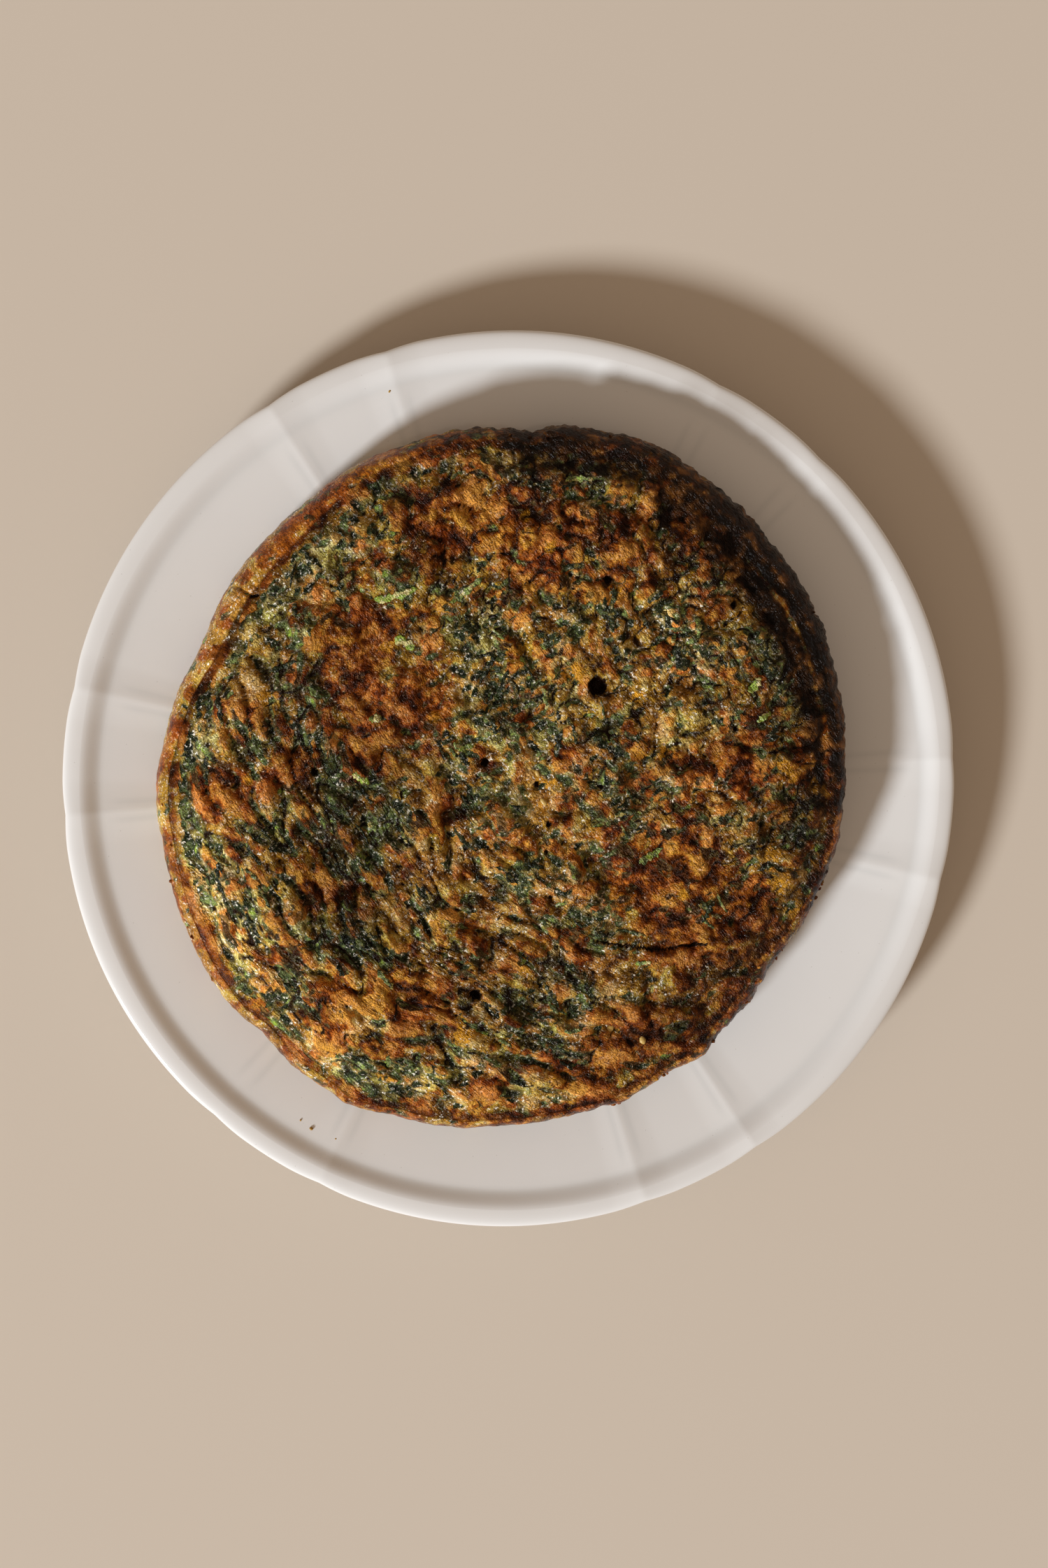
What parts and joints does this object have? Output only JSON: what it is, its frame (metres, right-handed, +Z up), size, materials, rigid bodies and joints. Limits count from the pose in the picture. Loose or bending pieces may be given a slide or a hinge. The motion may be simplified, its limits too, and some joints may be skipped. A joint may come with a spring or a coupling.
{
  "type": "plate of chard omelette",
  "caption": "Thick round omelette of eggs and shredded chard with a browned, craggy top, on a white glazed plate with a raised lip and pressed creases.",
  "frame": {"origin": "middle of the plate's foot, on the table", "axes": "+Z up through the plate and the omelette; +X to the right and +Y away from the diner, as pictured"},
  "size_m": [0.2696, 0.2702, 0.0429],
  "materials": {
    "white_glaze": "glossy clear-glazed white porcelain",
    "fried_egg_and_chard": null
  },
  "bodies": {
    "root": {"plate": "white_glaze", "omelette": "fried_egg_and_chard"}
  },
  "joints": []
}
